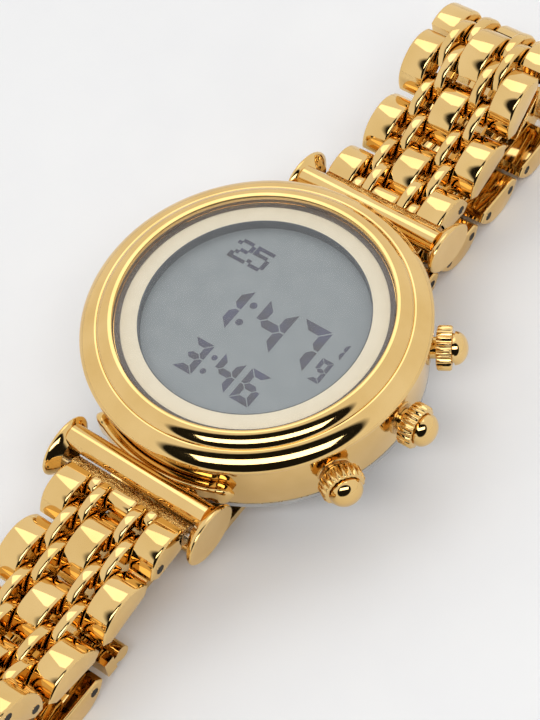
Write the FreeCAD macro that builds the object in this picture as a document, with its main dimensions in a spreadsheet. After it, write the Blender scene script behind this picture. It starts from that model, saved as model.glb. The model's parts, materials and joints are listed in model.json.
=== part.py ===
import FreeCAD, Part
import math
import os

# A round digital wristwatch on a seven column link bracelet, which lies folded flat under the case.
# Millimetres. The origin is the middle of the case back's outer face.
# +Y runs to twelve o'clock and +Z up through the dial.

os.makedirs("parts", exist_ok=True)
doc = FreeCAD.newDocument("wristwatch")
sheet = doc.addObject("Spreadsheet::Sheet", "Sizes")

SIZES = {
    # Case, with heights over the outer face of its back
    "case_radius": 18.3,
    "case_height": 7.0,
    "case_wall": 3.1,
    "case_edge": 0.5,
    "back_radius": 17.5,
    "back_thickness": 1.4,
    "back_step": 0.5,
    "back_pad_radius": 9.0,
    "gasket_thickness": 0.5,
    "bezel_radius": 19.1,
    "bezel_height": 2.9,
    "bezel_step_radius": 17.0,
    "crystal_radius": 15.1,
    "crystal_thickness": 0.9,
    "crystal_depth": 0.2,
    "bezel_foot": 0.75,
    "bezel_groove": 0.75,
    "bezel_lip": 0.25,
    "close_fit": 0.05,
    # Display and movement
    "ring_outer": 14.5,
    "ring_inner": 12.65,
    "ring_drop": 0.1,
    "display_radius": 12.6,
    "display_thickness": 1.3,
    "frame_radius": 14.6,
    "frame_thickness": 3.0,
    "board_thickness": 0.9,
    "board_radius": 13.6,
    "battery_radius": 8.0,
    "battery_thickness": 2.6,
    "battery_clearance": 0.3,
    "gasket_width": 1.15,
    # Pushers
    "pusher_height": 4.5,
    "pusher_spread": 29.5,
    "pusher_turn": 1.5,
    "pusher_stem": 0.8,
    "pusher_head": 1.95,
    "pusher_barrel": 1.75,
    "pusher_dome": 1.4,
    "pusher_neck": 0.25,
    "pusher_travel": 0.7,
    "pusher_stop": 0.15,
    "pusher_inside": 0.6,
    "tube_wall": 0.6,
    "flute_depth": 0.18,
    # Bars between the case and the bracelet
    "bar_reach": 20.7,
    "bar_height": 5.8,
    "bar_radius": 1.35,
    "cap_reach": 21.7,
    "cap_height": 4.4,
    "cap_long": 3.65,
    "cap_short": 2.65,
    "cap_thickness": 1.5,
    "cap_outside": 10.1,
    "cap_tilt": 12.0,
    "cap_wall": 0.6,
    "horn_thickness": 1.3,
    "horn_height": 2.4,
    "horn_sweep": 29.0,
    "pivot_reach": 22.9,
    "pivot_height": 3.9,
    "spring_bar_radius": 0.55,
    # Bracelet links, and how far below the back the surface is on which they lie
    "surface_drop": 5.45,
    "outer_column": 3.2,
    "narrow_column": 1.25,
    "middle_column": 3.3,
    "column_gap": 0.12,
    "link_length": 7.7,
    "link_height": 3.4,
    "pin_above_flat": 1.2,
    "link_edge": 0.9,
    "link_corner": 0.75,
    "row_pins": 4.6,
    "half_row_pins": 3.55,
    "end_link_pins": 4.5,
    "pin_radius": 0.42,
    "pin_clearance": 0.05,
    "pin_cover": 0.3,
    "end_link_gap": 0.25,
    "end_barrel_radius": 1.25,
    "end_web_length": 1.2,
    "end_web_height": 1.6,
    "end_shoulder": 0.9,
    # Clasp
    "clasp_end": 5.0,
    "clasp_block": 1.4,
    "clasp_arm_gap": 1.0,
    "cheek_height": 1.2,
    "fork_gap": 0.1,
    "knuckle_gap": 0.2,
    "blade_pins": 14.0,
    "plate_pins": 17.7,
    "blade_width": 9.0,
    "blade_thickness": 0.9,
    "knuckle_radius": 0.95,
    "clasp_width": 14.6,
}

# Slopes in degrees of each piece of a half bracelet, outwards from the case, as it lies.
# The gap left in each list is the piece whose slope brings the last rows down onto the surface.
ROWS = 8
SLOPES_12 = [-4, 3, 17, 27, 35, 0, -38, -76, -114, None, -178, -180, -180, -180, -180, -180, -180]
SLOPES_6 = [-4, -4, -10, -1, 8, 30, 50, 32, -6, -41, -76, None, -141, -180, -180, -180, -180]

FLUTES = 18
PUSHERS = 3

# The many rows have few faces: flats round each pin and bore, and flats over the dome of a link
PIN_SIDES = 6
DOME_SIDES = 6

X_AXIS = FreeCAD.Vector(1, 0, 0)
Y_AXIS = FreeCAD.Vector(0, 1, 0)
Z_AXIS = FreeCAD.Vector(0, 0, 1)

for line, (alias, value) in enumerate(SIZES.items(), start=1):
    sheet.set(f"A{line}", alias)
    sheet.set(f"B{line}", str(value))
    sheet.setAlias(f"B{line}", alias)
doc.recompute()

nodes = []


def size(alias):
    return float(sheet.get(alias))


def point(x, y, z):
    return FreeCAD.Vector(x, y, z)


def place(x, y, z, axis=Z_AXIS, angle=0):
    return FreeCAD.Placement(point(x, y, z), FreeCAD.Rotation(axis, angle))


def add(kind, name, **values):
    piece = doc.addObject(kind, name)
    for prop, value in values.items():
        if isinstance(value, str):
            piece.setExpression(prop, value)
        else:
            setattr(piece, prop, value)
    return piece


def node(piece, label):
    piece.Label = label
    nodes.append(piece)
    return piece


def cylinder(name, radius, height, placement=None, **more):
    piece = add("Part::Cylinder", name, Radius=radius, Height=height, **more)
    if placement is not None:
        piece.Placement = placement
    return piece


def box(name, length, width, height, placement):
    piece = add("Part::Box", name, Length=length, Width=width, Height=height)
    piece.Placement = placement
    return piece


def cut(name, base, tool):
    return add("Part::Cut", name, Base=base, Tool=tool)


def fuse(name, *pieces):
    return add("Part::MultiFuse", name, Shapes=list(pieces))


def shaped(name, shape):
    piece = doc.addObject("Part::Feature", name)
    piece.Shape = shape
    return piece


def face(edges):
    return Part.Face(Part.Wire(Part.__sortEdges__(edges)))


def polygon(corners):
    closed = list(corners) + [corners[0]]
    return [Part.LineSegment(a, b).toShape() for a, b in zip(closed, closed[1:])]


def lathe(name, edges):
    outline = shaped(name + "_outline", face(edges))
    return add("Part::Revolution", name, Source=outline, Axis=Z_AXIS, Angle=360.0, Solid=True)


def extrude(name, outline_face, direction, length):
    outline = shaped(name + "_outline", outline_face)
    return add("Part::Extrusion", name, Base=outline, Dir=direction, LengthFwd=length, Solid=True)


def ring_point(radius, height):
    return point(radius, 0, height)


# Heights that follow from the sizes
case_top = size("back_thickness") + size("case_height")
bezel_top = case_top + size("bezel_height")
crystal_top = bezel_top - size("crystal_depth")
crystal_bottom = crystal_top - size("crystal_thickness")
ring_top = crystal_bottom - size("close_fit")
display_top = ring_top - size("ring_drop")
frame_top = display_top - size("display_thickness")
board_top = frame_top - size("frame_thickness")
battery_top = board_top - size("board_thickness")
battery_bottom = battery_top - size("battery_thickness")
cavity = size("case_radius") - size("case_wall")


def case_body():
    """The gold band, open through the middle, with three cross bores for the pushers."""
    low = size("back_thickness")
    edge = size("case_edge")
    outer = size("case_radius")
    corners = [
        ring_point(cavity, low),
        ring_point(outer - edge, low),
        ring_point(outer, low + edge),
        ring_point(outer, case_top),
        ring_point(cavity, case_top),
    ]
    band = lathe("case_band", polygon(corners))
    bores = []
    for k in range(PUSHERS):
        at = pusher_place(k, cavity - 1)
        radius = "Sizes.pusher_stem + Sizes.tube_wall"
        bores.append(cylinder(f"tube_bore_{k}", radius, "2 * Sizes.case_wall", at))
    return node(cut("case_body_shape", band, fuse("tube_bores", *bores)), "case_body")


def pusher_angle(k):
    return size("pusher_turn") + size("pusher_spread") * (1 - k)


def pusher_place(k, reach):
    """A frame whose Z runs outwards along a pusher, with its origin at that distance from the dial's axis."""
    turn = FreeCAD.Rotation(Z_AXIS, pusher_angle(k)).multiply(FreeCAD.Rotation(Y_AXIS, 90))
    angle = math.radians(pusher_angle(k))
    base = point(reach * math.cos(angle), reach * math.sin(angle), size("pusher_height"))
    return FreeCAD.Placement(base, turn)


def bezel():
    """A rounded ring and a raised one round the crystal, with a seat for it and a bore for the dial ring."""
    inner = size("crystal_radius") + size("close_fit")
    bore = size("ring_outer") + size("close_fit")
    step = size("bezel_step_radius")
    foot = case_top + size("bezel_foot")
    groove = bezel_top - size("bezel_groove")
    lip = bezel_top - size("bezel_lip")
    outer = size("bezel_radius")
    crest = (inner + step) / 2
    outer_round = Part.Arc(
        ring_point(outer, foot),
        ring_point(outer - size("bezel_lip"), (foot + groove) / 2 + size("bezel_lip")),
        ring_point(step, groove),
    )
    corners = [
        ring_point(step, groove),
        ring_point((step + crest) / 2, lip),
        ring_point(crest, bezel_top),
        ring_point(inner, lip),
        ring_point(inner, crystal_bottom),
        ring_point(bore, crystal_bottom),
        ring_point(bore, frame_top),
        ring_point(cavity, frame_top),
        ring_point(cavity, case_top),
        ring_point(outer - size("case_edge"), case_top),
        ring_point(outer, foot),
    ]
    straight = [Part.LineSegment(a, b).toShape() for a, b in zip(corners, corners[1:])]
    return node(lathe("bezel_shape", straight + [outer_round.toShape()]), "bezel")


def disc(label, radius, thickness, bottom):
    piece = cylinder(label + "_shape", radius, thickness, place(0, 0, bottom))
    return node(piece, label)


def case_back():
    """The steel back: a flat plate with a stepped rim, and a low pad under the battery."""
    plate = cylinder("back_plate", "Sizes.back_radius - Sizes.back_step", "Sizes.back_thickness")
    rim_height = size("back_thickness") - size("back_step")
    rim = cylinder("back_rim", "Sizes.back_radius", rim_height, place(0, 0, size("back_step")))
    pad_height = battery_bottom - size("battery_clearance") - size("back_thickness")
    pad = cylinder("back_pad", "Sizes.back_pad_radius", pad_height, place(0, 0, size("back_thickness")))
    return node(fuse("case_back_shape", plate, rim, pad), "case_back")


def back_gasket():
    """A flat sealing ring inside the band, on the back plate."""
    low = size("back_thickness")
    outer = cavity - size("close_fit")
    outside = cylinder("gasket_outside", outer, "Sizes.gasket_thickness", place(0, 0, low))
    inner = outer - size("gasket_width")
    inside = cylinder("gasket_inside", inner, "Sizes.gasket_thickness", place(0, 0, low))
    return node(cut("back_gasket_shape", outside, inside), "back_gasket")


def dial_ring():
    outside = cylinder("ring_outside", "Sizes.ring_outer", ring_top - frame_top, place(0, 0, frame_top))
    inside = cylinder("ring_inside", "Sizes.ring_inner", ring_top - frame_top, place(0, 0, frame_top))
    return node(cut("dial_ring_shape", outside, inside), "dial_ring")


def module_frame():
    """The holder under the display, a plain disc that stands for the movement."""
    holder = cylinder("holder", "Sizes.frame_radius", "Sizes.frame_thickness", place(0, 0, board_top))
    return node(holder, "module_frame")


def pusher_tubes():
    """Three sleeves pressed into the band, in which the stems run."""
    sleeves = []
    for k in range(PUSHERS):
        at = pusher_place(k, cavity)
        wall = "Sizes.case_wall"
        outside = cylinder(f"sleeve_{k}", "Sizes.pusher_stem + Sizes.tube_wall", wall, at)
        bore = cylinder(f"sleeve_bore_{k}", "Sizes.pusher_stem + Sizes.pin_clearance", wall, at)
        sleeves.append(cut(f"sleeve_ring_{k}", outside, bore))
    return node(add("Part::Compound", "pusher_tubes_shape", Links=sleeves), "pusher_tubes")


def fluted_barrel():
    """The outline of a pusher's grip, with shallow V flutes."""
    head = size("pusher_head")
    corners = []
    for k in range(FLUTES * 2):
        radius = head - size("flute_depth") * (k % 2)
        angle = math.pi * k / FLUTES
        corners.append(point(radius * math.cos(angle), radius * math.sin(angle), 0))
    return face(polygon(corners))


def pusher(k, label):
    """A stem, a fluted grip, a neck and a polished dome, in one piece."""
    start = size("case_radius") + size("pusher_travel") + size("pusher_stop")
    barrel = size("pusher_barrel")
    stem_start = cavity - size("pusher_inside")
    grip = extrude(label + "_grip", fluted_barrel(), Z_AXIS, "Sizes.pusher_barrel")
    grip.Placement = pusher_place(k, start)
    stem = cylinder(label + "_stem", "Sizes.pusher_stem", start - stem_start, pusher_place(k, stem_start))
    neck_place = pusher_place(k, start + barrel)
    neck = cylinder(label + "_neck", "Sizes.pusher_dome - Sizes.flute_depth", "Sizes.pusher_neck", neck_place)
    dome = add("Part::Sphere", label + "_dome", Radius="Sizes.pusher_dome", Angle1=0.0)
    dome.Placement = pusher_place(k, start + barrel + size("pusher_neck"))
    return node(fuse(label + "_shape", grip, stem, neck, dome), label)


def half_turn(side):
    """The twelve o'clock side is built, and the six o'clock side is it turned half round the dial's axis."""
    return place(0, 0, 0, Z_AXIS, 0 if side == 12 else 180)


def bar(side):
    """A cross bar with an oval cap at each end, on a curved horn that hugs the case."""
    label = f"tbar_{side}"
    inner = size("cap_outside") - size("cap_thickness")
    rod = cylinder(
        label + "_rod",
        "Sizes.bar_radius",
        "2 * Sizes.cap_outside - Sizes.cap_thickness",
        place(-inner - size("cap_thickness") / 2, size("bar_reach"), size("bar_height"), Y_AXIS, 90),
    )
    caps = []
    for hand in (-1, 1):
        name = f"{label}_oval_{hand + 1}"
        oval = add("Part::Ellipse", name, MajorRadius="Sizes.cap_long", MinorRadius="Sizes.cap_short")
        start = inner if hand > 0 else -size("cap_outside")
        turn = FreeCAD.Rotation(X_AXIS, -size("cap_tilt")).multiply(FreeCAD.Rotation(point(1, 1, 1), 120))
        oval.Placement = FreeCAD.Placement(point(start, size("cap_reach"), size("cap_height")), turn)
        cap = add("Part::Extrusion", name + "_cap", Base=oval, LengthFwd="Sizes.cap_thickness", Solid=True)
        cap.DirMode = "Custom"
        cap.Dir = X_AXIS
        caps.append(cap)
    low = size("bar_height") - size("horn_height")
    outside = add(
        "Part::Cylinder",
        label + "_horn_outside",
        Radius="Sizes.case_radius + Sizes.horn_thickness",
        Height="Sizes.horn_height",
        Angle="2 * Sizes.horn_sweep",
    )
    outside.Placement = place(0, 0, low, Z_AXIS, 90 - size("horn_sweep"))
    inside = cylinder(label + "_horn_inside", "Sizes.case_radius", "Sizes.horn_height", place(0, 0, low))
    horn = cut(label + "_horn", outside, inside)
    whole = fuse(label + "_whole", rod, horn, *caps)
    spring_bore = cylinder(
        label + "_bore",
        "Sizes.spring_bar_radius",
        "2 * (Sizes.cap_outside - Sizes.cap_wall)",
        place(size("cap_wall") - size("cap_outside"), size("pivot_reach"), size("pivot_height"), Y_AXIS, 90),
    )
    piece = cut(label + "_shape", whole, spring_bore)
    piece.Placement = half_turn(side)
    return node(piece, label)


def spring_bar(side):
    label = f"spring_bar_{side}"
    half = size("cap_outside") - size("cap_wall")
    piece = cylinder(label + "_shape", "Sizes.spring_bar_radius - 0.01", 2 * half)
    at = place(-half, size("pivot_reach"), size("pivot_height"), Y_AXIS, 90)
    piece.Placement = half_turn(side).multiply(at)
    return node(piece, label)


def dome(half, foot, crown):
    """Points along the round top of a link, from its right edge to its left one."""
    rise = crown - foot
    radius = (half**2 + rise**2) / (2 * rise)
    reach = math.asin(half / radius)
    points = []
    for k in range(DOME_SIDES + 1):
        angle = reach * (1 - 2 * k / DOME_SIDES)
        points.append(point(0, radius * math.sin(angle), crown - radius + radius * math.cos(angle)))
    return points


def link_outline():
    """A half moon on its flat, with its middle at the origin on the line through the two pins."""
    half = size("link_length") / 2
    flat = -size("pin_above_flat")
    foot = half - size("link_corner")
    top = dome(half, flat + size("link_edge"), size("link_height") + flat)
    return face(polygon([point(0, -foot, flat), point(0, foot, flat)] + top))


def pin_outline(radius, along):
    """A pin or bore with flats in place of its round wall."""
    reach = radius / math.cos(math.pi / PIN_SIDES)
    corners = []
    for k in range(PIN_SIDES):
        angle = 2 * math.pi * (k + 0.5) / PIN_SIDES
        corners.append(point(0, along + reach * math.cos(angle), reach * math.sin(angle)))
    return face(polygon(corners))


def column_starts():
    """Left side and width of the seven columns, from one edge of the bracelet to the other."""
    widths = ["outer_column", "narrow_column", "narrow_column", "middle_column"]
    widths += ["narrow_column", "narrow_column", "outer_column"]
    total = sum(size(w) for w in widths) + 6 * size("column_gap")
    left = -total / 2
    columns = []
    for width in widths:
        columns.append((left, width))
        left += size(width) + size("column_gap")
    return columns


def columns_of(name, outline, picked):
    """One block for each picked column."""
    blocks = []
    for k in picked:
        left, width = column_starts()[k]
        block = extrude(f"{name}_{k}", outline, X_AXIS, "Sizes." + width)
        block.Placement = place(left, 0, 0)
        blocks.append(block)
    return blocks


def cross_pin(name, radius, along):
    """A pin or bore across the bracelet, ending inside its outer columns."""
    left = column_starts()[0][0] + size("pin_cover")
    pin = extrude(name, pin_outline(radius, along), X_AXIS, -2 * left)
    pin.Placement = place(left, 0, 0)
    return pin


def outer_row():
    """Columns one, three, five and seven, riveted on two pins."""
    half = size("row_pins") / 2
    blocks = columns_of("outer_row", link_outline(), (0, 2, 4, 6))
    pins = [cross_pin(f"outer_row_pin_{k}", size("pin_radius"), half * k) for k in (-1, 1)]
    return fuse("outer_row_master", *blocks, *pins)


def half_row():
    """Columns two, four and six, bored for the pins of the rows on either side."""
    half = size("half_row_pins") / 2
    blocks = columns_of("half_row", link_outline(), (1, 3, 5))
    bore = size("pin_radius") / math.cos(math.pi / PIN_SIDES) + size("pin_clearance") / 2
    bores = [cross_pin(f"half_row_bore_{k}", bore, half * k) for k in (-1, 1)]
    return cut(
        "half_row_master",
        add("Part::Compound", "half_row_blocks", Links=blocks),
        add("Part::Compound", "half_row_bores", Links=bores),
    )


def end_link():
    """The block between the caps: long columns, short stubs, one pin, and a barrel round the spring bar."""
    length = size("end_link_pins")
    over = (size("link_length") - size("row_pins")) / 2
    flat = -size("pin_above_flat")
    crown = size("link_height") + flat
    corner = size("link_corner")
    edge = flat + size("link_edge")
    barrel_radius = size("end_barrel_radius")
    back = size("end_link_gap") - length + barrel_radius / 2

    def outline(front, chamfer, crest):
        shoulder = point(0, back, crown - size("end_shoulder"))
        return face(
            [
                Part.LineSegment(point(0, back, flat), point(0, front - chamfer, flat)).toShape(),
                Part.LineSegment(point(0, front - chamfer, flat), point(0, front, edge)).toShape(),
                Part.Arc(point(0, front, edge), crest, shoulder).toShape(),
                Part.LineSegment(shoulder, point(0, back, flat)).toShape(),
            ]
        )

    long_crest = point(0, (over + back) / 2 + 0.6, crown)
    long_blocks = columns_of("end_link_long", outline(over, corner, long_crest), (0, 2, 4, 6))
    gap = size("end_link_gap")
    stub_front = (size("half_row_pins") - size("link_length")) / 2 - gap
    stub_crest = point(0, stub_front - gap, crown - size("end_shoulder") - gap)
    stubs = columns_of("end_link_stub", outline(stub_front, gap, stub_crest), (1, 3, 5))
    left = column_starts()[0][0]
    at = place(left, -length, 0, Y_AXIS, 90)
    barrel = cylinder("end_link_barrel", barrel_radius, -2 * left, at)
    web_at = place(left, back, flat)
    web = box("end_link_web", -2 * left, size("end_web_length"), size("end_web_height"), web_at)
    pin = cross_pin("end_link_pin", size("pin_radius"), 0)
    whole = fuse("end_link_whole", *long_blocks, *stubs, barrel, web, pin)
    bore = cylinder("end_link_bore", "Sizes.spring_bar_radius + Sizes.pin_clearance", -2 * left, at)
    return cut("end_link_master", whole, bore)


def knuckle(name, left, width, along):
    return cylinder(name, "Sizes.knuckle_radius", width, place(left, along, 0, Y_AXIS, 90))


def fork(name, along):
    """The two knuckles of a fork, outside the blade's width, with the left edge and width of each."""
    wide = size("clasp_width")
    side = (wide - size("blade_width")) / 2 - size("fork_gap")
    ends = []
    for k, left in enumerate((-wide / 2, wide / 2 - side)):
        ends.append((knuckle(f"{name}_{k}", left, side, along), left, side))
    return ends


def clasp_pin(name, along):
    """A fork's own pin, ending inside its knuckles."""
    left = size("pin_cover") - size("clasp_width") / 2
    return cylinder(name, "Sizes.pin_radius", -2 * left, place(left, along, 0, Y_AXIS, 90))


def clasp_end():
    """The end of a half bracelet: three tongues on the last pin, a block, and a fork with the blade's pin."""
    length = size("clasp_end")
    tongue = size("pin_above_flat")
    wide = size("clasp_width")
    cheek = size("cheek_height")
    block_start = length - size("knuckle_radius") - size("pusher_stop") - size("clasp_block")
    pieces = []
    for k in (1, 3, 5):
        left, width = column_starts()[k]
        reach = length - size("clasp_block") - size("clasp_arm_gap")
        pieces.append(cylinder(f"clasp_nose_{k}", tongue, "Sizes." + width, place(left, 0, 0, Y_AXIS, 90)))
        pieces.append(box(f"clasp_arm_{k}", size(width), reach, 2 * tongue, place(left, 0, -tongue)))
    block_at = place(-wide / 2, block_start, -tongue)
    pieces.append(box("clasp_block_shape", wide, size("clasp_block"), 2 * tongue, block_at))
    for k, (round_end, left, side) in enumerate(fork("clasp_knuckle", length)):
        reach = length - block_start - size("clasp_block") / 2
        pieces.append(round_end)
        pieces.append(box(f"clasp_cheek_{k}", side, reach, cheek, place(left, length - reach, -cheek / 2)))
    whole = fuse("clasp_end_whole", clasp_pin("clasp_end_pin", length), *pieces)
    at = place(-wide / 2, 0, 0, Y_AXIS, 90)
    bore = cylinder("clasp_nose_bore", "Sizes.pin_radius + 2 * Sizes.pin_clearance", wide, at)
    return cut("clasp_end_master", whole, bore)


def clasp_blade():
    """A thin arm with a rolled eye at each end."""
    length = size("blade_pins")
    wide = size("blade_width")
    thick = size("blade_thickness")
    arm = box("blade_arm", wide, length, thick, place(-wide / 2, 0, -thick / 2))
    eyes = [knuckle(f"blade_eye_{k}", -wide / 2, wide, length * k) for k in (0, 1)]
    bores = []
    for k in (0, 1):
        at = place(-wide / 2, length * k, 0, Y_AXIS, 90)
        bores.append(cylinder(f"blade_bore_{k}", "Sizes.pin_radius + Sizes.pin_clearance", wide, at))
    whole = fuse("blade_whole", arm, *eyes)
    return cut("clasp_blade_master", whole, add("Part::Compound", "blade_bores", Links=bores))


def clasp_plate():
    """The middle plate: a fork with its pin at one end, and an open fork without a pin at the other."""
    length = size("plate_pins")
    wide = size("clasp_width")
    thick = size("blade_thickness")
    clear = size("knuckle_radius") + size("knuckle_gap")
    pieces = [box("plate_body", wide, length - 2 * clear, thick, place(-wide / 2, clear, -thick / 2))]
    for k in (0, 1):
        for hand, (round_end, left, side) in enumerate(fork(f"plate_knuckle_{k}", length * k)):
            reach = clear + thick
            start = (length - reach) * k
            pieces.append(round_end)
            pieces.append(box(f"plate_cheek_{k}_{hand}", side, reach, thick, place(left, start, -thick / 2)))
    whole = fuse("plate_whole", clasp_pin("plate_pin", 0), *pieces)
    at = place(-wide / 2, length, 0, Y_AXIS, 90)
    open_bore = cylinder("plate_open_bore", "Sizes.pin_radius + Sizes.pin_clearance", wide, at)
    return cut("clasp_plate_master", whole, open_bore)


def strap_lengths():
    rows = [size("half_row_pins"), size("row_pins")] * ROWS
    return [size("end_link_pins")] + rows + [size("clasp_end"), size("blade_pins")]


def strap_route(slopes):
    """The pins of a half bracelet: distance outwards, height, and the slope and length of the next piece."""
    lengths = strap_lengths()
    slopes = list(slopes) + [-180, -180]
    rest_height = size("link_height") - size("pin_above_flat") - size("surface_drop")
    rise = sum(n * math.sin(math.radians(a)) for n, a in zip(lengths, slopes) if a is not None)
    gap = slopes.index(None)
    needed = (rest_height - size("pivot_height") - rise) / lengths[gap]
    slopes[gap] = -180 + math.degrees(math.asin(-needed))
    route = []
    along, height = size("pivot_reach"), size("pivot_height")
    for length, slope in zip(lengths, slopes):
        route.append((along, height, slope, length))
        along += length * math.cos(math.radians(slope))
        height += length * math.sin(math.radians(slope))
    return route


def on_route(side, stop, fraction):
    """The frame of the piece that starts at that pin, with its origin that share of the way along it."""
    along, height, slope, length = stop
    along += fraction * length * math.cos(math.radians(slope))
    height += fraction * length * math.sin(math.radians(slope))
    return half_turn(side).multiply(place(0, along, height, X_AXIS, slope))


def copy_of(master, label, placement):
    piece = add("Part::Compound", label + "_shape", Links=[master])
    piece.Placement = placement
    return node(piece, label)


def half_bracelet(side, slopes, masters):
    route = strap_route(slopes)
    for stop in route:
        print("pin", side, [round(value, 5) for value in stop])
    copy_of(masters["end_link"], f"end_link_{side}", on_route(side, route[0], 1))
    for row in range(ROWS):
        first, second = route[1 + 2 * row : 3 + 2 * row]
        copy_of(masters["half_row"], f"half_row_{side}_{row + 1}", on_route(side, first, 0.5))
        copy_of(masters["outer_row"], f"row_{side}_{row + 1}", on_route(side, second, 0.5))
    copy_of(masters["clasp_end"], f"clasp_end_{side}", on_route(side, route[-2], 0))
    copy_of(masters["clasp_blade"], f"clasp_blade_{side}", on_route(side, route[-1], 0))
    return route


case_body()
bezel()
disc("crystal", "Sizes.crystal_radius", "Sizes.crystal_thickness", crystal_bottom)
dial_ring()
disc("lcd_panel", "Sizes.display_radius", "Sizes.display_thickness", frame_top)
module_frame()
disc("circuit_board", "Sizes.board_radius", "Sizes.board_thickness", battery_top)
disc("battery", "Sizes.battery_radius", "Sizes.battery_thickness", battery_bottom)
case_back()
back_gasket()
pusher_tubes()
for number, name in enumerate(("pusher_upper", "pusher_middle", "pusher_lower")):
    pusher(number, name)
for clock_side in (12, 6):
    bar(clock_side)
    spring_bar(clock_side)
shared = {
    "end_link": end_link(),
    "half_row": half_row(),
    "outer_row": outer_row(),
    "clasp_end": clasp_end(),
    "clasp_blade": clasp_blade(),
}
half_bracelet(12, SLOPES_12, shared)
route_6 = half_bracelet(6, SLOPES_6, shared)
plate_along, plate_height, _, blade_length = route_6[-1]
plate_turn = place(0, plate_along - blade_length, plate_height, X_AXIS, -180)
copy_of(clasp_plate(), "clasp_plate", half_turn(6).multiply(plate_turn))

doc.recompute()
for piece in doc.Objects:
    if "Invalid" in piece.State or "Error" in piece.State:
        raise RuntimeError(f"{piece.Label} failed: {piece.State}")
for piece in nodes:
    if piece.Shape.isNull() or not piece.Shape.isValid():
        raise RuntimeError(f"{piece.Label} has no valid shape")
for piece in nodes:
    piece.Shape.exportStep(f"parts/{piece.Label}.step")
print("nodes", len(nodes))
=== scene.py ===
import bpy
import bmesh
import json
import math
from mathutils import Matrix, Vector


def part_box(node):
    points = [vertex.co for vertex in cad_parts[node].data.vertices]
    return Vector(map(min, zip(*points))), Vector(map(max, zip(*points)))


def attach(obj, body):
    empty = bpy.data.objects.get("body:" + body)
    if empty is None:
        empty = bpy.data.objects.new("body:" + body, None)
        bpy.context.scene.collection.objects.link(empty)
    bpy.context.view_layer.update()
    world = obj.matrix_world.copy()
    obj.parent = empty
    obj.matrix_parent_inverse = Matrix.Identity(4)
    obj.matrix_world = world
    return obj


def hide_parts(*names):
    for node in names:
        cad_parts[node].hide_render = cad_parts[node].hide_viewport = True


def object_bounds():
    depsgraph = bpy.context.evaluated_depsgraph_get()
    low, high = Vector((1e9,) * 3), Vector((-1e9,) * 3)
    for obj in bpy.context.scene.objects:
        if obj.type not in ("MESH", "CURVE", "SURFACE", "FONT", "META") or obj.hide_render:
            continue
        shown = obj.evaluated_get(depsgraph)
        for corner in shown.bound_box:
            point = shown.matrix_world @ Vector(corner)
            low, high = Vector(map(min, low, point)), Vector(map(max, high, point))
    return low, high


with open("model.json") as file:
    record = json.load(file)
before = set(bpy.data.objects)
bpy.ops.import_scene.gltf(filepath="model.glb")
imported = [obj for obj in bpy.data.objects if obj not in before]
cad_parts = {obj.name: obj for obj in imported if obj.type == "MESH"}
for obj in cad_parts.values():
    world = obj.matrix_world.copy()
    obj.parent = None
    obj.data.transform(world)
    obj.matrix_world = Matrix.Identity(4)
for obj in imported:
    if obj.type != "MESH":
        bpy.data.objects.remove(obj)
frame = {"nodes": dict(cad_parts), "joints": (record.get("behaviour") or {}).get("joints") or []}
cad_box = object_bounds()

# Sizes are in millimetres in the frame of the model, and this takes them to metres
MM = 0.001

# Camera fitted to the photograph round a point over the dial: its focal length is in pixels of the photograph
PHOTO_HEIGHT = 720
SENSOR_HEIGHT = 36
FITTED_POINT = (0.0, 0.0, 10.4)
FOCAL_PIXELS = 1966.5
AZIMUTH, ELEVATION, ROLL = 46.52, 55.07, -11.58
DISTANCE, SHIFT_RIGHT, SHIFT_UP = 208.76, 1.71, -5.03
CLIP_START = 0.01

# Room: the direction of its dark side, the cosines and heights between which it fades in, and both strengths
DARK_SIDE = (0.406, -0.579, 0.707)
DARK_SIDE_FADE = (0.68, 0.73)
HORIZON_FADE = (0.0, 0.05)
ROOM_LIGHT, ROOM_DARK = 0.93, 0.012

# Softboxes: place, width and height in metres, and power in watts
SOFTBOXES = {
    "overhead": ((-0.3, 0.35, 0.8), 0.45, 0.45, 0.6),
    "front_strip": ((0.24, -0.33, 0.629), 0.8, 0.24, 2.4),
}
FLOOR_REACH = 3

# Noise: the values between which colours and roughness change, and the detail of slow and fine noise
NOISE_LOW, NOISE_HIGH = 0.3, 0.7
SLOW_DETAIL, FINE_DETAIL = 3.0, 6.0
COLOUR_GRAIN_SHARE = 0.12

# Meshes: the turn in degrees that makes an edge sharp, and how much of a short side a rounded corner takes
SHARP_TURN = 32
CORNER_SHARE, CORNER_STEPS = 0.45, 4

# Case band and steel back
LATHE_STEPS = 160
AXIS_GAP, FILM_AXIS_GAP = 0.05, 0.02
CASE_RADIUS, CASE_INSIDE, CASE_EDGE = 18.3, 15.2, 0.45
BACK_RADIUS, BACK_STEP = 18.2, 0.75
BACK_RIM = [(16.6, 0), (16.9, 0.12), (17.1, 0.45), (18.0, 0.6)]

# Bezel: a lip at its foot, then an outer and an inner ring, each with a width outwards and a rise
BEZEL_FOOT, LIP_MIDDLE, LIP_ROUND = 18.65, 18.6, 0.5
OUTER_MIDDLE, OUTER_LIFT, OUTER_WIDTH, OUTER_RISE = 17.1, 0.6, 2.0, 1.36
INNER_MIDDLE, INNER_WIDTH, INNER_RISE = 15.5, 1.56, 1.0
LIP_START, OUTER_START, INNER_START, CREST_END = -70, 6, 2, 84
LIP_STEPS, CREST_STEPS, CREST_POWER = 6, 24, 1.3
BEZEL_MOUTH, MOUTH_ROUND, MOUTH_WALL = 15.15, 0.1, 0.3
MOUTH_DROP = 0.08
BEZEL_BORE, BEZEL_FLANGE = 14.55, 0.35

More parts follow.
